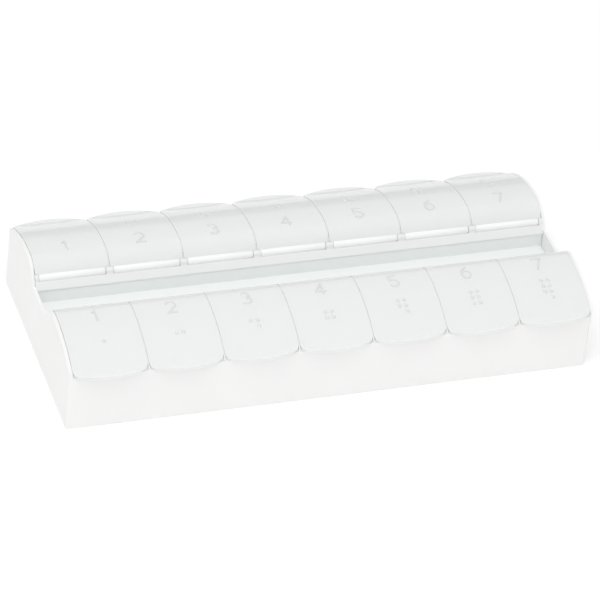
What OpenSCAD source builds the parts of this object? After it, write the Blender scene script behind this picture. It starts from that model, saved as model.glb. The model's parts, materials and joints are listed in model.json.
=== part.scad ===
// Weekly travel pill organizer with two rows of seven compartments.
// One white case holds all the compartments, with a channel between the rows. A clear
// liner lies in the channel. A clear hinge strip is pegged to the case on each side of it,
// holds the liner down and carries a steel rod. Fourteen clear domed lids turn on the
// rods, seven on each strip, and open away from the outer walls.
// +X runs along the rows, +Y to the rear and +Z up. The origin is the middle of the
// underside. Sections are drawn for the rear row as (y, z) and swept along X.

/* [Case] */
// Length over the end walls
case_l = 200; // [180:1:220]
// Depth over the front and rear walls
case_w = 88; // [86:1:92]
// Thickness of the front and rear walls
wall = 1.8; // [1.4:0.1:2.2]
// Thickness of the end walls
end_wall = 1.2; // [1:0.1:2.4]
// Thickness of the walls between compartments
divider = 1.6; // [1.4:0.1:2]
// Thickness of the compartment floors and the channel floor
floor_t = 1.5; // [1.2:0.1:1.8]
// Height of the compartment floors above the table, inside
floor_z = 3; // [2.5:0.1:4]
// Radius of the scooped floor, so that pills slide up and out
scoop_r = 10; // [6:0.5:11]
// Height of the channel floor above the table, under the liner
channel_z = 16.4; // [15:0.1:18]
// Thickness of the channel liner
liner_t = 1; // [0.8:0.1:1.2]
// How far the walls lean in at the table
draft = 0.35; // [0.1:0.05:0.6]
// Radius of the upright corners
corner_r = 2.5; // [1:0.5:4]

/* [Lids] */
// Lids in a row
days = 7; // [5:1:7]
// Height of the lids at their crest
crest_h = 32; // [31.5:0.1:32.5]
// Distance of the crest from the middle of the case
crest_y = 18.5; // [18:0.1:19]
// Radius of the long slope from the crest to the rim
slope_r = 48; // [46:1:52]
// Radius of the shoulder over the hinge
shoulder_r = 9.5; // [9:0.1:10]
// Lean of the face below the shoulder, from upright, in degrees
shoulder_lean = 30; // [28:1:32]
// Thickness of a lid
lid_t = 1.4; // [1.2:0.1:1.6]
// Gap between two lids, with a fin of the case in it
lid_gap = 0.7; // [0.7:0.1:1.2]
// How far a thumb tab reaches past the wall at its middle
tab_reach = 2.5; // [2:0.1:3.5]
// Corner radius at the tab edge
tab_corner_r = 2.5; // [1:0.5:4]
// Depth of the locating ribs under a lid
rib_h = 1.6; // [1:0.1:2]

/* [Hinges] */
// Distance of a hinge axis from the middle of the case
hinge_y = 10.8; // [10.6:0.1:11]
// Height of the hinge axes
hinge_z = 26.3; // [26.2:0.1:26.5]
// Radius of a hinge rod
rod_r = 0.75; // [0.7:0.01:0.78]
// Radius of the barrels on the lids
barrel_r = 1.5; // [1.4:0.05:1.55]
// Radius of the knuckles on the hinge strips
knuckle_r = 1.5; // [1.2:0.05:1.55]
// Length of a knuckle
knuckle_l = 2.8; // [2.4:0.1:4]

/* [Hidden] */
$fn = 96;
ROWS = ["front", "rear"];
function lid_name(row, day) = str(row, "_lid_", day);

big = 60;
half_l = case_l / 2;
half_w = case_w / 2;
inner_x = half_l - end_wall;   // inner face of an end wall
pitch = 2 * inner_x / days;    // from one lid to the next

// Clearances.
seat_gap = 0.1;                // under a closed lid and under the channel liner
turn_gap = 0.05;               // lid barrels on their rod
grip_gap = 0.02;               // rods and pegs in their holes
side_gap = 0.2;                // between neighbouring pieces

// Section of a compartment row.
row_y0 = 12.4;                 // channel side of the compartments
row_y1 = half_w - wall;        // outer side of the compartments
hinge_room_r = 2.1;            // kept free for the barrels
channel_y = 8.4;               // side of the channel
channel_wall = 1;
ledge_z = 22.6;                // the hinge strips lie on this ledge
fin_t = 0.4;                   // fin between two lids
fin_sunk = 0.25;               // below the lids' outer surface
channel_rim_z = 24.3;          // top of the end walls at the channel

// Section of a hinge strip, an apron that rises to just under the lid barrels. Its inner
// edge reaches over the walls of the channel liner.
liner_y = channel_y - side_gap;
strip_y0 = liner_y - liner_t - side_gap;
strip_y1 = row_y0 - floor_t - side_gap;
strip_z0 = ledge_z + 0.25;
strip_edge_z = strip_z0 + 0.55;
apron_y = hinge_y - 1.8;
apron_z = hinge_z - 0.6;
apron_gap = 0.12;              // between the apron and the barrels
strip_l = 2 * inner_x - side_gap;
peg_r = 0.55;
peg_y = 10;
peg_l = 3.5;

// Section and outline of a lid.
lid_w = pitch - lid_gap;
barrel_l = pitch - knuckle_l - 2 * side_gap;
neck_z = hinge_z + barrel_r + 0.4;   // a lid narrows below this, to clear the knuckles
root_z = hinge_z;
rib_t = 0.8;
rib_x = (pitch - divider) / 2 - 0.5;
rib_y0 = 15;
rib_y1 = row_y1 - 0.7;
tab_t = lid_t - 0.1;
tab_y0 = half_w - 0.2;
tab_z1 = crest_h - slope_r + sqrt(pow(slope_r, 2) - pow(half_w - crest_y, 2)) - 0.2;

function day_x(day) = (day - (days + 1) / 2) * pitch;
// Middles of the knuckles: one between each two lids, and one at each end.
function seam_x(k) = max(-inner_x, min(inner_x, day_x(k + 0.5)));

// Sweeps a (y, z) section along X.
module along_x(x0, x1) {
    translate([x0, 0, 0]) rotate([90, 0, 90]) linear_extrude(x1 - x0) children();
}

// Sweeps a (y, z) section between the end walls, at a seam between two lids.
module at_seam(k, length, gap = 0) {
    along_x(max(seam_x(k) - length / 2, gap - inner_x),
            min(seam_x(k) + length / 2, inner_x - gap)) children();
}

// Places rear-row geometry in its row: the front row is the rear row turned half round.
module in_row(row) {
    rotate([0, 0, row == "rear" ? 0 : 180]) children();
}

module hinge_cylinder(r, x0, x1) {
    translate([x0, hinge_y, hinge_z]) rotate([0, 90, 0]) cylinder(r = r, h = x1 - x0);
}

// The (y, z) area under the lids' outer surface, moved inwards by inset.
module under_dome(inset = 0) {
    shoulder = [crest_y, crest_h - shoulder_r];
    tangent = shoulder
        + (shoulder_r - inset) * [-cos(shoulder_lean), sin(shoulder_lean)];
    foot = tangent - tangent[1] * [tan(shoulder_lean), 1];
    intersection() {
        translate([crest_y, crest_h - slope_r]) circle(slope_r - inset);
        translate([crest_y, 0]) square([half_w - crest_y, big]);
    }
    intersection() {
        translate(shoulder) circle(shoulder_r - inset);
        polygon([shoulder, tangent, tangent + [0, big], [crest_y, big]]);
    }
    polygon([foot, tangent, shoulder, [crest_y, 0]]);
}

// The (y, z) section of a compartment, grown by g all round.
module pocket(g = 0) {
    scoop_z = floor_z + scoop_r;
    translate([row_y0 - g, scoop_z]) square([row_y1 - row_y0 + 2 * g, big]);
    for (y = [row_y0 + scoop_r, row_y1 - scoop_r])
        translate([y, scoop_z]) circle(scoop_r + g);
    translate([row_y0 + scoop_r, floor_z - g])
        square([row_y1 - row_y0 - 2 * scoop_r, scoop_r + g]);
}

// What the closed lids leave free below them, less the room round the hinge.
module below_lids() {
    difference() {
        intersection() {
            union() {
                under_dome(lid_t + seat_gap);
                square([row_y0, channel_rim_z]);
            }
            square([half_w, big]);
        }
        translate([hinge_y, hinge_z]) circle(hinge_room_r);
    }
}

// Outer wall, compartment shell, ledge and channel floor of one row.
module row_section() {
    difference() {
        intersection() {
            union() {
                translate([row_y1, 0]) square([wall, big]);
                pocket(floor_t);
            }
            below_lids();
        }
        pocket();
    }
    translate([0, channel_z - floor_t]) square([channel_y, floor_t]);
    translate([channel_y, channel_z - floor_t])
        square([channel_wall, ledge_z - channel_z + floor_t]);
    translate([channel_y, ledge_z - floor_t])
        square([row_y0 - floor_t / 2 - channel_y, floor_t]);
}

// A wall between two compartments. Half of one inside each end wall is a seat for the
// end of the row's last lid.
module divider_section() {
    intersection() {
        pocket(floor_t / 2);
        below_lids();
    }
}

// A fin on each divider stands between two lids, almost flush with them. Half of one on
// each end wall closes the gap beside the row's last lid.
module fin_section() {
    difference() {
        intersection() {
            under_dome(fin_sunk);
            translate([row_y0, floor_z + scoop_r]) square([half_w - row_y0, big]);
        }
        translate([hinge_y, hinge_z]) circle(hinge_room_r);
    }
}

// An end wall stands as high as the closed lids and covers the ends of the rods.
module end_wall_section() {
    under_dome();
    square([row_y0, channel_rim_z]);
}

module rounded_plan(l, w, r) {
    square([l - 2 * r, w], center = true);
    square([l, w - 2 * r], center = true);
    for (sx = [-1, 1], sy = [-1, 1])
        translate([sx * (l / 2 - r), sy * (w / 2 - r)]) circle(r);
}

// Upright face of half width h that leans in towards the table.
module leaning_section(h) {
    polygon([[draft - h, 0], [h - draft, 0], [h, crest_h], [-h, crest_h]]);
}

module case_envelope() {
    intersection() {
        along_x(-half_l, half_l) leaning_section(half_w);
        rotate([90, 0, 0]) translate([0, 0, -half_w])
            linear_extrude(case_w) leaning_section(half_l);
        linear_extrude(crest_h) rounded_plan(case_l, case_w, corner_r);
    }
}

module case_body() {
    color("white") intersection() {
        difference() {
            for (row = ROWS) in_row(row) {
                along_x(-inner_x, inner_x) row_section();
                for (k = [0 : days]) {
                    at_seam(k, divider) divider_section();
                    at_seam(k, fin_t) fin_section();
                }
                along_x(-half_l, -inner_x) end_wall_section();
                along_x(inner_x, half_l) end_wall_section();
            }
            for (row = ROWS) in_row(row) pegs(peg_r + grip_gap, ledge_z - floor_t - 1);
        }
        case_envelope();
    }
}

// Pegs under a hinge strip, from height z0 up into the strip.
module pegs(r, z0) {
    for (k = [1 : days - 1])
        translate([seam_x(k), peg_y, z0]) cylinder(r = r, h = strip_z0 + 1 - z0);
}

module strip_section() {
    difference() {
        polygon([[strip_y0, strip_z0], [strip_y1, strip_z0], [strip_y1, apron_z],
                 [apron_y, apron_z], [strip_y0, strip_edge_z]]);
        translate([hinge_y, hinge_z]) circle(barrel_r + apron_gap);
    }
}

module knuckle_section() {
    translate([hinge_y, hinge_z]) circle(knuckle_r);
    polygon([[apron_y, strip_z0 + 1], [strip_y1, strip_z0 + 1], [strip_y1, hinge_z],
             [hinge_y - knuckle_r, hinge_z], [apron_y, apron_z]]);
}

// Carries the fin between two lids down to the strip.
module knuckle_fin_section() {
    intersection() {
        under_dome(fin_sunk);
        translate([0, hinge_z]) square([row_y0 - side_gap, big]);
    }
}

module hinge_strip(row) {
    color("lightcyan") in_row(row) difference() {
        union() {
            along_x(-strip_l / 2, strip_l / 2) strip_section();
            for (k = [0 : days]) at_seam(k, knuckle_l, side_gap / 2) knuckle_section();
            for (k = [1 : days - 1]) at_seam(k, fin_t) knuckle_fin_section();
            pegs(peg_r, strip_z0 - peg_l);
        }
        hinge_cylinder(rod_r + grip_gap, -half_l, half_l);
    }
}

module hinge_rod(row) {
    color("silver") in_row(row)
        hinge_cylinder(rod_r, -strip_l / 2, strip_l / 2);
}

// A tray in the channel, with a wall along each hinge strip.
module channel_liner() {
    z0 = channel_z + seat_gap;
    color("lightcyan") along_x(-strip_l / 2, strip_l / 2) {
        translate([-liner_y, z0]) square([2 * liner_y, liner_t]);
        for (y = [-liner_y, liner_y - liner_t])
            translate([y, z0]) square([liner_t, ledge_z - z0]);
    }
}

// A lid from above: square at the hinge, with a bowed thumb tab at the rim.
module lid_plan() {
    r = tab_corner_r;
    bow_r = (pow(lid_w / 2, 2) + pow(tab_reach, 2)) / (2 * tab_reach);
    bow_y = half_w + tab_reach - bow_r;
    corner_x = lid_w / 2 - r;
    corner_y = bow_y + sqrt(pow(bow_r - r, 2) - pow(corner_x, 2));
    reach = 2 * corner_y - bow_y;
    translate([-lid_w / 2, 0]) square([lid_w, corner_y]);
    for (s = [-1, 1]) translate([s * corner_x, corner_y]) circle(r);
    intersection() {
        translate([0, bow_y]) circle(bow_r);
        polygon([[0, corner_y - 1], [corner_x, corner_y - 1], [corner_x, corner_y],
                 [2 * corner_x, reach], [-2 * corner_x, reach], [-corner_x, corner_y],
                 [-corner_x, corner_y - 1]]);
    }
}

// The (y, z) area between two depths under the lids' outer surface.
module dome_band(d0, d1) {
    shoulder = [crest_y, crest_h - shoulder_r];
    out = [-cos(shoulder_lean), sin(shoulder_lean)];
    down = [-sin(shoulder_lean), -cos(shoulder_lean)];
    intersection() {
        ring([crest_y, crest_h - slope_r], slope_r - d0, slope_r - d1);
        translate([crest_y, 0]) square([big, big]);
    }
    intersection() {
        ring(shoulder, shoulder_r - d0, shoulder_r - d1);
        polygon([shoulder, shoulder + 2 * shoulder_r * out, [crest_y, crest_h + shoulder_r]]);
    }
    polygon([for (p = [[d0, 0], [d1, 0], [d1, shoulder_r], [d0, shoulder_r]])
        shoulder + (shoulder_r - p[0]) * out + p[1] * down]);
}

module ring(centre, r1, r0) {
    translate(centre) difference() {
        circle(r1);
        circle(r0);
    }
}

module shell_section() {
    intersection() {
        dome_band(0, lid_t);
        polygon([[0, neck_z], [crest_y, neck_z], [crest_y, 0],
                 [half_w, 0], [half_w, big], [0, big]]);
    }
    translate([tab_y0, tab_z1 - tab_t]) square([half_w + tab_reach - tab_y0, tab_t]);
}

module neck_section() {
    intersection() {
        dome_band(0, lid_t);
        translate([0, root_z]) square([crest_y, neck_z - root_z]);
    }
}

// Depth of the ribs below the shell, between two distances from the middle.
module rib_section(y0, y1) {
    intersection() {
        dome_band(lid_t / 2, lid_t + rib_h);
        translate([y0, 0]) square([y1 - y0, big]);
    }
}

module lid(row, day) {
    color("azure", 0.6) in_row(row)
        translate([row == "rear" ? day_x(day) : -day_x(day), 0, 0]) difference() {
            union() {
                intersection() {
                    along_x(-lid_w / 2, lid_w / 2) shell_section();
                    linear_extrude(big) lid_plan();
                }
                along_x(-barrel_l / 2, barrel_l / 2) neck_section();
                hinge_cylinder(barrel_r, -barrel_l / 2, barrel_l / 2);
                for (x = [-rib_x, rib_x - rib_t])
                    along_x(x, x + rib_t) rib_section(rib_y0, rib_y1);
                along_x(-rib_x, rib_x) rib_section(rib_y1 - rib_t, rib_y1);
            }
            hinge_cylinder(rod_r + turn_gap, -pitch, pitch);
        }
}

case_body();  // case
channel_liner();
for (row = ROWS) {
    hinge_strip(row);
    hinge_rod(row);
    for (day = [1 : days])
        lid(row, day);
}
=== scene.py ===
"""Looks of the weekly pill organizer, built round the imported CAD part.

The case, channel liner, hinge strips and rods are the CAD nodes with rounded edges.
Each lid is rebuilt as a finished moulding, with a raised numeral and counting dots.
Shape code works in millimetres; M turns them into metres.
"""
import json
import math

import bmesh
import bpy
from mathutils import Matrix, Vector


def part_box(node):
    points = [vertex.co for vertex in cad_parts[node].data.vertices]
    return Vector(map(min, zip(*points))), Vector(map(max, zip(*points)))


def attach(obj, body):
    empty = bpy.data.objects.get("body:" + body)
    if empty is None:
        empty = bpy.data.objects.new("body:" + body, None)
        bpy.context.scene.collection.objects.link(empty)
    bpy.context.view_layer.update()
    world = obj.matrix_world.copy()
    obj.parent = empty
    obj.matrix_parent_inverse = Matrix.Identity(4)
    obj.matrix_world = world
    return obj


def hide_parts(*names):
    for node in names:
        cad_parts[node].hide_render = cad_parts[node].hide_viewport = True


M = 0.001
ROWS = ("front", "rear")
DAYS = range(1, 8)

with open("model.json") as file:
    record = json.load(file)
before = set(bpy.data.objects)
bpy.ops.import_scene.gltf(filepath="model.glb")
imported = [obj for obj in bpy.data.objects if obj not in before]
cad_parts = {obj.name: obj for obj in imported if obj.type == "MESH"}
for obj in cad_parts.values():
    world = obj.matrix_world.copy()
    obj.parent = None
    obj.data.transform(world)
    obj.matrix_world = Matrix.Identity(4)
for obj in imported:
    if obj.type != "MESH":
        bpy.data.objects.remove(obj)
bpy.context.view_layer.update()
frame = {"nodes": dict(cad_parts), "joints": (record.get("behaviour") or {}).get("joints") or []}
scene = bpy.context.scene


# ---------------------------------------------------------------- sizes from the frame
def box_mm(node):
    lo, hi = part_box(node)
    return lo / M, hi / M


case_lo, case_hi = box_mm("case")
lid_lo, lid_hi = box_mm("rear_lid_4")
hinge = next(j for j in frame["joints"] if j["child"] == "rear_lid_4")
HINGE_Y, HINGE_Z = hinge["pos_m"][1] / M, hinge["pos_m"][2] / M

# The finished lids are a little wider than in the CAD part, which leaves a finer line
# between them.
LID_WIDER = 0.1
LID_W = lid_hi.x - lid_lo.x + LID_WIDER
# The outer walls lean out, and their sections are drawn at the height of the crest, this
# far outside the case's rim.
RIM_LEAN = 0.1
HALF_W = case_hi.y + RIM_LEAN
CREST_Z = lid_hi.z
TAB_Y = lid_hi.y
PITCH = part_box("rear_lid_5")[0].x / M - lid_lo.x

# The lid's section, as in the CAD part. The barrels are fuller and longer here, which
# closes up the gaps at the knuckles.
CREST_Y = 18.5
SLOPE_R = 48.0
SHOULDER_R = 9.5
LEAN = math.radians(30)
LID_T = 1.4
BARREL_R = 1.6
BORE_R = 0.8
KNUCKLE_L = 2.8
SIDE_GAP = 0.12
DIVIDER = 1.6
CORNER_R = 2.5
HEEL_R = 0.5
NECK_Z = HINGE_Z + 1.55
BARREL_HALF = (PITCH - KNUCKLE_L) / 2 - SIDE_GAP
RIB_Y0, RIB_Y1 = 15.0, 41.5
RIB_X = (PITCH - DIVIDER) / 2 - 0.5
RIB_T = 0.8
RIB_H = 1.6
RIB_SUNK = 0.2
TAB_DROP = 0.2               # the tab's top lies this far below the slope's foot
TAB_BLEND_FROM = HALF_W - 4  # the slope starts to turn into the tab here
TAB_BLEND = 0.25

FACE_STEPS = 16
SHOULDER_STEPS = 90
CREST_POINT = FACE_STEPS + SHOULDER_STEPS


# ---------------------------------------------------------------- lid surface
def dome_z(y):
    return CREST_Z - SLOPE_R + math.sqrt(SLOPE_R ** 2 - (y - CREST_Y) ** 2)


TAB_Z = dome_z(HALF_W) - TAB_DROP


def lid_profile():
    """Points (y, z) on the lid's outer surface from the hinge to the tab's edge."""
    down = Vector((-math.sin(LEAN), -math.cos(LEAN)))
    out = Vector((-math.cos(LEAN), math.sin(LEAN)))
    shoulder = Vector((CREST_Y, CREST_Z - SHOULDER_R))
    tangent = shoulder + SHOULDER_R * out
    length = (tangent.y - HINGE_Z) / -down.y
    points = [tangent + down * length * (1 - i / FACE_STEPS) for i in range(FACE_STEPS)]
    for i in range(SHOULDER_STEPS + 1):
        a = (math.pi / 2 - LEAN) * (1 - i / SHOULDER_STEPS)
        points.append(shoulder + SHOULDER_R * Vector((-math.sin(a), math.cos(a))))
    y = CREST_Y
    while y < TAB_Y + 0.2:
        y += 0.1
        z = dome_z(y)
        if y >= TAB_BLEND_FROM:
            drop = z - TAB_Z
            z = ((z + TAB_Z + math.hypot(drop, TAB_BLEND)) / 2
                 - 0.5 * TAB_BLEND * math.exp(-abs(drop) * 4))
        points.append(Vector((y, z)))
    return points


PROFILE = lid_profile()
ARC = [0.0]
for p, q in zip(PROFILE, PROFILE[1:]):
    ARC.append(ARC[-1] + (q - p).length)


def at_arc(s):
    """Point and outward normal on the profile, as (y, z) pairs, s mm from its start."""
    s = min(max(s, 0.0), ARC[-1] - 1e-6)
    lo, hi = 0, len(ARC) - 1
    while hi - lo > 1:
        mid = (lo + hi) // 2
        if ARC[mid] <= s:
            lo = mid
        else:
            hi = mid
    t = (s - ARC[lo]) / (ARC[hi] - ARC[lo])
    a, b = PROFILE[lo], PROFILE[hi]
    tangent = (b - a).normalized()
    return a.lerp(b, t), Vector((-tangent.y, tangent.x))


def arc_where(test):
    return next(s for p, s in zip(PROFILE, ARC) if test(p))


ARC_NECK = arc_where(lambda p: p.y >= NECK_Z)
ARC_CREST = arc_where(lambda p: p.x >= CREST_Y - 1e-6)


def surface(x, s, height=0.0):
    p, n = at_arc(s)
    return Vector((x, p.x + n.x * height, p.y + n.y * height))


# Outline of the tab: a bow with a rounded corner at each side.
BOW_REACH = TAB_Y - HALF_W
BOW_R = ((LID_W / 2) ** 2 + BOW_REACH ** 2) / (2 * BOW_REACH)
BOW_Y = TAB_Y - BOW_R
CORNER_X = LID_W / 2 - CORNER_R
CORNER_Y = BOW_Y + math.sqrt((BOW_R - CORNER_R) ** 2 - CORNER_X ** 2)
BOW_X = BOW_R * CORNER_X / (BOW_R - CORNER_R)


def edge_y(x):
    x = abs(x)
    if x <= BOW_X:
        return BOW_Y + math.sqrt(BOW_R ** 2 - x ** 2)
    return CORNER_Y + math.sqrt(max(CORNER_R ** 2 - (x - CORNER_X) ** 2, 0.0))


def arc_at_y(y):
    return next(s for p, s in zip(PROFILE[CREST_POINT:], ARC[CREST_POINT:]) if p.x >= y)


def heel_arc(x):
    """Start of the lid's full-width part, with rounded corners at the hinge side."""
    d = max(abs(x) - (LID_W / 2 - HEEL_R), 0.0)
    return ARC_NECK + HEEL_R - math.sqrt(HEEL_R ** 2 - d ** 2)


def lid_columns():
    middle = [CORNER_X * i / 10 for i in range(11)]
    corner = [CORNER_X + CORNER_R * math.sin(math.radians(90 * i / 10)) for i in range(1, 11)]
    half = middle + corner
    nearest = min(range(len(half)), key=lambda i: abs(half[i] - BARREL_HALF))
    half[nearest] = BARREL_HALF
    return [-x for x in reversed(half[1:])] + half


def new_object(name, bm, material):
    for f in bm.faces:
        f.smooth = True
    mesh = bpy.data.meshes.new(name)
    bm.to_mesh(mesh)
    bm.free()
    mesh.transform(Matrix.Scale(M, 4))
    obj = bpy.data.objects.new(name, mesh)
    scene.collection.objects.link(obj)
    if material:
        mesh.materials.append(material)
    return obj


def baked(obj):
    """The object's mesh with its modifiers applied."""
    dg = bpy.context.evaluated_depsgraph_get()
    mesh = bpy.data.meshes.new_from_object(obj.evaluated_get(dg))
    bpy.data.objects.remove(obj)
    return mesh


def lid_skin():
    """The lid's outer surface as a quad grid."""
    bm = bmesh.new()
    columns = lid_columns()
    rows, neck_rows = 40, 3
    grid = []
    for x in columns:
        start, end = heel_arc(x), arc_at_y(edge_y(x))
        line = {}
        for j in range(rows + 1):
            line[j] = bm.verts.new(surface(x, start + (end - start) * j / rows))
        if abs(x) <= BARREL_HALF + 1e-6:
            for j in range(1, neck_rows + 1):
                line[-j] = bm.verts.new(surface(x, ARC_NECK * (1 - j / neck_rows)))
        grid.append(line)
    for a, b in zip(grid, grid[1:]):
        for j in range(-neck_rows, rows):
            if all(j in c and j + 1 in c for c in (a, b)):
                bm.faces.new((a[j], b[j], b[j + 1], a[j + 1]))
    return bm


def tube(bm, x0, x1, centre, r_out, r_in, chamfer=0.25, sides=32):
    """A tube along X with eased ends."""
    rings = []
    stations = [(x0, r_in), (x0, r_out - chamfer), (x0 + chamfer, r_out),
                (x1 - chamfer, r_out), (x1, r_out - chamfer), (x1, r_in)]
    for x, r in stations:
        rings.append([bm.verts.new((x, centre[0] + r * math.cos(2 * math.pi * i / sides),
                                    centre[1] + r * math.sin(2 * math.pi * i / sides)))
                      for i in range(sides)])
    for a, b in zip(rings, rings[1:] + rings[:1]):
        for i in range(sides):
            k = (i + 1) % sides
            bm.faces.new((a[i], a[k], b[k], b[i]))


def rib(bm, x0, x1, y0, y1, steps):
    """A rib under the lid from y0 to y1, that runs a little way into the shell."""
    s0, s1 = arc_at_y(y0), arc_at_y(y1)
    rings = []
    for i in range(steps + 1):
        s = s0 + (s1 - s0) * i / steps
        fade = 0.35 if i in (0, steps) and steps > 1 else 0.0
        rings.append([bm.verts.new(surface(x, s, -d)) for x, d in
                      ((x0, LID_T - RIB_SUNK), (x1, LID_T - RIB_SUNK),
                       (x1, LID_T + RIB_H - fade), (x0, LID_T + RIB_H - fade))])
    for a, b in zip(rings, rings[1:]):
        for i in range(4):
            k = (i + 1) % 4
            bm.faces.new((a[i], a[k], b[k], b[i]))
    bm.faces.new(rings[0])
    bm.faces.new(reversed(rings[-1]))


def lid_mesh():
    skin = new_object("lid_skin", lid_skin(), None)
    solid = skin.modifiers.new("thickness", "SOLIDIFY")
    solid.thickness = LID_T * M
    solid.offset = -1
    solid.use_even_offset = True
    ease = skin.modifiers.new("ease", "BEVEL")
    ease.width = 0.22 * M
    ease.segments = 3
    ease.limit_method = "ANGLE"
    ease.angle_limit = math.radians(40)
    mesh = baked(skin)
    bm = bmesh.new()
    bm.from_mesh(mesh)
    bpy.data.meshes.remove(mesh)
    bmesh.ops.transform(bm, matrix=Matrix.Scale(1 / M, 4), verts=bm.verts)
    skin_faces = set(bm.faces)
    tube(bm, -BARREL_HALF, BARREL_HALF, (HINGE_Y, HINGE_Z), BARREL_R, BORE_R)
    # The barrel's faces take the lid's second material, the brighter copy of its plastic that
    # paints the barrel's highlight.
    for face in set(bm.faces) - skin_faces:
        face.material_index = 1
    rib(bm, -RIB_X, -RIB_X + RIB_T, RIB_Y0, RIB_Y1, 24)
    rib(bm, RIB_X - RIB_T, RIB_X, RIB_Y0, RIB_Y1, 24)
    rib(bm, -RIB_X + RIB_T, RIB_X - RIB_T, RIB_Y1 - RIB_T, RIB_Y1, 1)
    bmesh.ops.recalc_face_normals(bm, faces=bm.faces)
    return bm


# ---------------------------------------------------------------- raised numerals and dots
def arc_points(cx, cy, r, a0, a1, n=14, ry=None):
    ry = ry or r
    return [(cx + r * math.cos(math.radians(a0 + (a1 - a0) * i / n)),
             cy + ry * math.sin(math.radians(a0 + (a1 - a0) * i / n))) for i in range(n + 1)]


# Strokes of each numeral, one unit high.
STROKES = {
    1: [[(-0.2, 0.76), (0.03, 1.0), (0.03, 0.0)]],
    2: [arc_points(0, 0.71, 0.29, 165, -38) + [(-0.3, 0.0), (0.31, 0.0)]],
    3: [arc_points(-0.01, 0.755, 0.25, 150, -80, ry=0.245)
        + arc_points(-0.02, 0.265, 0.29, 80, -150, ry=0.265)],
    4: [[(0.14, 0.0), (0.14, 1.0), (-0.32, 0.3), (0.34, 0.3)]],
    5: [[(0.26, 1.0), (-0.2, 1.0), (-0.24, 0.56)] + arc_points(0, 0.32, 0.3, 128, -150, ry=0.32)],
    6: [arc_points(0, 0.31, 0.29, 180, -180, n=26, ry=0.31),
        arc_points(0.26, 0.31, 0.55, 180, 103, ry=0.7)],
    7: [[(-0.3, 1.0), (0.31, 1.0), (-0.1, 0.0)]],
}


def resample(points, step):
    out = [Vector(points[0])]
    for a, b in zip(points, points[1:]):
        a, b = Vector(a), Vector(b)
        n = max(1, math.ceil((b - a).length / step))
        out += [a.lerp(b, i / n) for i in range(1, n + 1)]
    return out


def stroke(bm, path, width, height):
    """A raised stroke with a rounded top, along path, a list of (x, arc) on the lid."""
    shape = [(-0.5, -0.3), (-0.46, 0.45), (-0.25, 0.9), (0, 1.0), (0.25, 0.9), (0.46, 0.45),
             (0.5, -0.3)]
    rings = []
    last = len(path) - 1
    for i, p in enumerate(path):
        a, b = path[max(i - 1, 0)], path[min(i + 1, last)]
        t = (b - a).normalized()
        side = Vector((t.y, -t.x))
        if 0 < i < last:
            u = (path[i] - a).normalized()
            side *= 1 / max(abs(t.dot(u)), 0.6)
        for_end = 0.55 if i in (0, last) else 1.0
        shift = t * (0.12 if i == last else -0.12) if i in (0, last) else Vector((0, 0))
        ring = []
        for w, h in shape:
            q = p + shift + side * (w * width * for_end)
            ring.append(bm.verts.new(surface(q.x, q.y, h * height * (for_end if h > 0 else 1))))
        rings.append(ring)
    for a, b in zip(rings, rings[1:]):
        for i in range(len(shape) - 1):
            bm.faces.new((a[i], a[i + 1], b[i + 1], b[i]))
        bm.faces.new((a[-1], a[0], b[0], b[-1]))
    bm.faces.new(rings[0])
    bm.faces.new(list(reversed(rings[-1])))


NUMERAL_H = 5.8
NUMERAL_ARC = ARC_CREST + 2.4
STROKE_W = 0.75
STROKE_H = 0.28
DOT_PITCH = 2.5
DOT_ARC = ARC_CREST + 14.6
DOT_RINGS = ((0.78, -0.15), (0.76, 0.05), (0.62, 0.25), (0.4, 0.38), (0.16, 0.44))
DOT_SIDES = 16


def numeral_mesh(day, flip):
    """flip turns the numeral half round, so that both rows read from the front."""
    bm = bmesh.new()
    for points in STROKES[day]:
        path = []
        for p in resample(points, 0.06):
            q = Vector((p.x, p.y - 0.5)) * NUMERAL_H
            path.append(Vector((0, NUMERAL_ARC)) + (-q if flip else q))
        stroke(bm, path, STROKE_W, STROKE_H)
    bmesh.ops.recalc_face_normals(bm, faces=bm.faces)
    return bm


def dots_mesh(day):
    """Raised counting dots: as many as the day's number, in two columns."""
    bm = bmesh.new()
    rows = (day + 1) // 2
    cols = 2 if day > 1 else 1
    for i in range(day):
        col, row = i // rows, i % rows
        cx = (col - (cols - 1) / 2) * DOT_PITCH
        cs = DOT_ARC + (row - (rows - 1) / 2) * DOT_PITCH
        rings = []
        for r, h in DOT_RINGS:
            turns = [2 * math.pi * k / DOT_SIDES for k in range(DOT_SIDES)]
            rings.append([bm.verts.new(surface(cx + r * math.cos(t), cs + r * math.sin(t), h))
                          for t in turns])
        for a, b in zip(rings, rings[1:]):
            for k in range(DOT_SIDES):
                m = (k + 1) % DOT_SIDES
                bm.faces.new((a[k], a[m], b[m], b[k]))
        bm.faces.new(rings[0])
        bm.faces.new(list(reversed(rings[-1])))
    bmesh.ops.recalc_face_normals(bm, faces=bm.faces)
    return bm


# ---------------------------------------------------------------- materials
def material(name):
    mat = bpy.data.materials.new(name)
    mat.use_nodes = True
    nodes, links = mat.node_tree.nodes, mat.node_tree.links
    return mat, nodes, links, nodes["Principled BSDF"]


def noise_range(nodes, links, coords, scale, lo, hi, detail=3.0, rough=0.55):
    """Object-space noise mapped between two values."""
    noise = nodes.new("ShaderNodeTexNoise")
    noise.inputs["Scale"].default_value = scale
    noise.inputs["Detail"].default_value = detail
    noise.inputs["Roughness"].default_value = rough
    links.new(coords, noise.inputs["Vector"])
    span = nodes.new("ShaderNodeMapRange")
    span.inputs["From Min"].default_value = 0.3
    span.inputs["From Max"].default_value = 0.7
    span.inputs["To Min"].default_value = lo
    span.inputs["To Max"].default_value = hi
    links.new(noise.outputs["Fac"], span.inputs["Value"])
    return noise, span.outputs["Result"]


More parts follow.
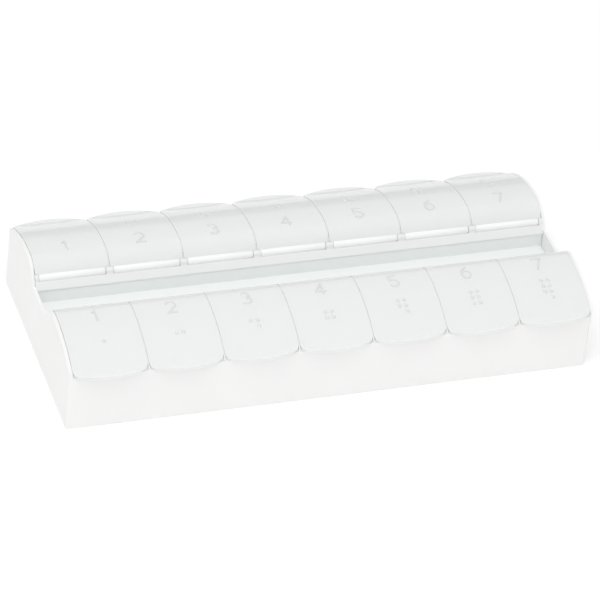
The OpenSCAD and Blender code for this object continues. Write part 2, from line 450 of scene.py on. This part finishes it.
def colour_mix(nodes, links, factor, a, b):
    mix = nodes.new("ShaderNodeMix")
    mix.data_type = "RGBA"
    mix.inputs["A"].default_value = (*a, 1)
    mix.inputs["B"].default_value = (*b, 1)
    links.new(factor, mix.inputs["Factor"])
    return mix.outputs["Result"]


def moulded_plastic(name, a, b, rough, transmission=0.0, bump=0.02, grain=2600.0, coat=0.0,
                    coat_rough=0.1):
    """Moulded plastic: slow tone drift, uneven gloss and a fine tool texture."""
    mat, nodes, links, bsdf = material(name)
    coords = nodes.new("ShaderNodeTexCoord").outputs["Object"]
    _, tone = noise_range(nodes, links, coords, 38, 0, 1)
    links.new(colour_mix(nodes, links, tone, a, b), bsdf.inputs["Base Color"])
    _, gloss = noise_range(nodes, links, coords, 120, *rough, detail=5)
    links.new(gloss, bsdf.inputs["Roughness"])
    fine, _ = noise_range(nodes, links, coords, grain, 0, 1, detail=2)
    relief = nodes.new("ShaderNodeBump")
    relief.inputs["Strength"].default_value = bump
    relief.inputs["Distance"].default_value = 0.0001
    links.new(fine.outputs["Fac"], relief.inputs["Height"])
    links.new(relief.outputs["Normal"], bsdf.inputs["Normal"])
    bsdf.inputs["IOR"].default_value = 1.49
    if coat:
        bsdf.inputs["Specular IOR Level"].default_value = 0.3
    bsdf.inputs["Transmission Weight"].default_value = transmission
    bsdf.inputs["Coat Weight"].default_value = coat
    bsdf.inputs["Coat Roughness"].default_value = coat_rough
    return mat


white = moulded_plastic("white_moulded_plastic", (0.875, 0.875, 0.87), (0.89, 0.89, 0.885),
                        (0.42, 0.52), bump=0.08)
frosted = moulded_plastic("frosted_clear_plastic", (0.955, 0.97, 0.964), (0.965, 0.98, 0.974),
                          (0.34, 0.44), transmission=0.22, bump=0.12, coat=0.7,
                          coat_rough=0.05)
# Painted shade: the raised numerals and dots take a darker copy of the lids' plastic, which
# paints the shade that shows up their relief.
frosted_mark_painted_shade = moulded_plastic("frosted_mark_plastic", (0.9, 0.915, 0.909), (0.91, 0.925, 0.919),
                               (0.34, 0.44), transmission=0.25, bump=0.12, coat=0.4)
# Painted highlight: the barrels take a brighter, less clear copy of the lids' plastic, which
# paints the bright line along them.
frosted_barrel_painted_highlight = moulded_plastic("frosted_barrel_plastic", (0.965, 0.978, 0.972),
                                 (0.972, 0.985, 0.979), (0.3, 0.38), transmission=0.04,
                                 bump=0.08, coat=0.5)
# Painted shade: the hinge strips and the channel liner are the lids' clear plastic, made darker
# and less clear than the lids to paint the shade in the channel and under the barrels.
clear = moulded_plastic("strip_plastic_painted_shade", (0.9, 0.917, 0.91), (0.91, 0.927, 0.92),
                        (0.3, 0.38), transmission=0.1, bump=0.05, coat=0.5)
liner = moulded_plastic("liner_plastic_painted_shade", (0.905, 0.925, 0.917), (0.91, 0.93, 0.922),
                        (0.3, 0.4), transmission=0.03, bump=0.05, coat=0.3)


def wire_steel():
    mat, nodes, links, bsdf = material("drawn_steel_wire_painted_shade")
    coords = nodes.new("ShaderNodeTexCoord").outputs["Object"]
    stretch = nodes.new("ShaderNodeMapping")
    stretch.inputs["Scale"].default_value = (1, 60, 60)
    links.new(coords, stretch.inputs["Vector"])
    _, tone = noise_range(nodes, links, stretch.outputs["Vector"], 60, 0, 1)
    # Painted shade: the wire's base is darker and browner than bare steel, which paints the rod
    # as seen in shade; the tone varies in streaks along the wire.
    links.new(colour_mix(nodes, links, tone, (0.42, 0.37, 0.32), (0.55, 0.50, 0.45)),
              bsdf.inputs["Base Color"])
    _, gloss = noise_range(nodes, links, stretch.outputs["Vector"], 90, 0.28, 0.42)
    links.new(gloss, bsdf.inputs["Roughness"])
    bsdf.inputs["Metallic"].default_value = 1.0
    return mat


steel = wire_steel()


# ---------------------------------------------------------------- CAD nodes
def crease_group(angle):
    """A modifier's node group that makes edges sharper than angle (degrees) sharp."""
    group = bpy.data.node_groups.new("creases", "GeometryNodeTree")
    for end in ("INPUT", "OUTPUT"):
        group.interface.new_socket("Geometry", in_out=end, socket_type="NodeSocketGeometry")
    nodes, links = group.nodes, group.links
    source, result = nodes.new("NodeGroupInput"), nodes.new("NodeGroupOutput")
    bend = nodes.new("GeometryNodeInputMeshEdgeAngle")
    flat = nodes.new("FunctionNodeCompare")
    flat.data_type = "FLOAT"
    flat.operation = "LESS_EQUAL"
    flat.inputs["B"].default_value = math.radians(angle)
    links.new(bend.outputs["Unsigned Angle"], flat.inputs["A"])
    shade = nodes.new("GeometryNodeSetShadeSmooth")
    shade.domain = "EDGE"
    links.new(source.outputs["Geometry"], shade.inputs["Geometry"])
    links.new(flat.outputs["Result"], shade.inputs["Shade Smooth"])
    links.new(shade.outputs["Geometry"], result.inputs["Geometry"])
    return group


CREASES = crease_group(50)


def dress(node, mat, ease_mm, angle=25):
    """Gives a CAD node its material, and rounds its edges with modifiers."""
    obj = frame["nodes"][node]
    obj.data.materials.clear()
    obj.data.materials.append(mat)
    weld = obj.modifiers.new("weld", "WELD")
    weld.merge_threshold = 0.002 * M
    if ease_mm:
        ease = obj.modifiers.new("ease", "BEVEL")
        ease.width = ease_mm * M
        ease.segments = 2
        ease.limit_method = "ANGLE"
        ease.angle_limit = math.radians(angle)
        ease.use_clamp_overlap = True
    creases = obj.modifiers.new("creases", "NODES")
    creases.node_group = CREASES
    even = obj.modifiers.new("even_normals", "WEIGHTED_NORMAL")
    even.keep_sharp = True
    return obj


dress("case", white, 0.15)
dress("channel_liner", liner, 0.12)
for row in ROWS:
    dress(f"{row}_hinge_strip", clear, 0.12)
    dress(f"{row}_hinge_rod", steel, 0.1)

# ---------------------------------------------------------------- lids
shell = new_object("lid_master", lid_mesh(), frosted)
shell_mesh = shell.data
shell_mesh.materials.append(frosted_barrel_painted_highlight)
bpy.data.objects.remove(shell)


def placed(name, mesh, row, day):
    node = f"{row}_lid_{day}"
    lo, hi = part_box(node)
    obj = bpy.data.objects.new(name, mesh)
    scene.collection.objects.link(obj)
    turn = Matrix.Rotation(math.pi, 4, "Z") if row == "front" else Matrix.Identity(4)
    obj.matrix_world = Matrix.Translation(((lo.x + hi.x) / 2, 0, 0)) @ turn
    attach(obj, node)
    return obj


for row in ROWS:
    for day in DAYS:
        node = f"{row}_lid_{day}"
        lid = placed(f"{node}_shell", shell_mesh, row, day)
        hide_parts(node)
        marks = new_object("marks", numeral_mesh(day, row == "front"), frosted_mark_painted_shade)
        placed(f"{node}_numeral", marks.data, row, day)
        bpy.data.objects.remove(marks)
        dots = new_object("dots", dots_mesh(day), frosted_mark_painted_shade)
        placed(f"{node}_dots", dots.data, row, day)
        bpy.data.objects.remove(dots)

# ---------------------------------------------------------------- floor, light, camera
def floor_material():
    mat, nodes, links, bsdf = material("pale_floor")
    coords = nodes.new("ShaderNodeTexCoord").outputs["Object"]
    _, tone = noise_range(nodes, links, coords, 3, 0, 1)
    links.new(colour_mix(nodes, links, tone, (0.93, 0.93, 0.93), (0.94, 0.94, 0.94)),
              bsdf.inputs["Base Color"])
    bsdf.inputs["Roughness"].default_value = 0.9
    bsdf.inputs["Specular IOR Level"].default_value = 0.1
    bsdf.inputs["Emission Color"].default_value = (1, 1, 1, 1)
    bsdf.inputs["Emission Strength"].default_value = 0.08
    return mat


def floor():
    bm = bmesh.new()
    size = 4000
    bmesh.ops.create_grid(bm, x_segments=4, y_segments=4, size=size)
    obj = new_object("floor", bm, floor_material())
    obj.location.z = -0.00005


floor()

STUDIO_WHITE = 0.82
STUDIO_DARK = 0.3


def studio_world():
    """An even white room that is darker low down behind the object."""
    world = bpy.data.worlds.new("studio")
    scene.world = world
    world.use_nodes = True
    nodes, links = world.node_tree.nodes, world.node_tree.links
    coords = nodes.new("ShaderNodeTexCoord").outputs["Generated"]
    axes = nodes.new("ShaderNodeSeparateXYZ")
    links.new(coords, axes.inputs["Vector"])

    def step(value, lo, hi):
        span = nodes.new("ShaderNodeMapRange")
        span.interpolation_type = "SMOOTHSTEP"
        span.inputs["From Min"].default_value = lo
        span.inputs["From Max"].default_value = hi
        links.new(value, span.inputs["Value"])
        return span.outputs["Result"]

    low = step(axes.outputs["Z"], 0.25, 0.22)
    behind = step(axes.outputs["Y"], 0.2, 0.5)
    both = nodes.new("ShaderNodeMath")
    both.operation = "MULTIPLY"
    links.new(low, both.inputs[0])
    links.new(behind, both.inputs[1])
    tone = nodes.new("ShaderNodeMix")
    tone.inputs["A"].default_value = STUDIO_WHITE
    tone.inputs["B"].default_value = STUDIO_DARK
    links.new(both.outputs["Value"], tone.inputs["Factor"])
    links.new(tone.outputs["Result"], nodes["Background"].inputs["Strength"])
    nodes["Background"].inputs["Color"].default_value = (1, 1, 1, 1)


studio_world()


def area(name, location, size, power, target=(0, 0, 0.02)):
    light = bpy.data.lights.new(name, "AREA")
    light.shape = "DISK"
    light.size = size
    light.energy = power
    obj = bpy.data.objects.new(name, light)
    scene.collection.objects.link(obj)
    obj.location = location
    obj.rotation_mode = "QUATERNION"
    obj.rotation_quaternion = (Vector(target) - Vector(location)).to_track_quat("-Z", "Y")
    obj.visible_glossy = False


area("key", (-0.32, -0.38, 1.25), 0.9, 5.1)
area("fill", (-0.9, -0.9, 0.7), 0.8, 0.12)
area("left_fill", (-1.2, 0.1, 0.4), 0.8, 0.12)

# The photograph's camera: directions in degrees, distance in case lengths and shift in
# picture widths.
VIEW_AZ, VIEW_EL, VIEW_ROLL = -21.96, 38.205, 7.231
VIEW_DIST = 7.446
VIEW_SHIFT = 0.009778, 0.03764
a, e, r = (math.radians(v) for v in (VIEW_AZ, VIEW_EL, VIEW_ROLL))
back = Vector((math.sin(a) * math.cos(e), -math.cos(a) * math.cos(e), math.sin(e)))
right = Vector((math.cos(a), math.sin(a), 0))
up = back.cross(right)
cam_x = right * math.cos(r) + up * math.sin(r)
cam_y = -right * math.sin(r) + up * math.cos(r)
lens = bpy.data.cameras.new("camera")
lens.sensor_width = 36
lens.lens = 240
lens.shift_x, lens.shift_y = VIEW_SHIFT
camera = bpy.data.objects.new("camera", lens)
scene.collection.objects.link(camera)
length = (case_hi.x - case_lo.x) * M
place = Matrix((cam_x, cam_y, back)).transposed().to_4x4()
place.translation = back * VIEW_DIST * length
camera.matrix_world = place
scene.camera = camera

scene.view_settings.view_transform = "Standard"
scene.cycles.use_denoising = True
scene.cycles.max_bounces = 16
scene.cycles.transmission_bounces = 12
scene.cycles.diffuse_bounces = 8
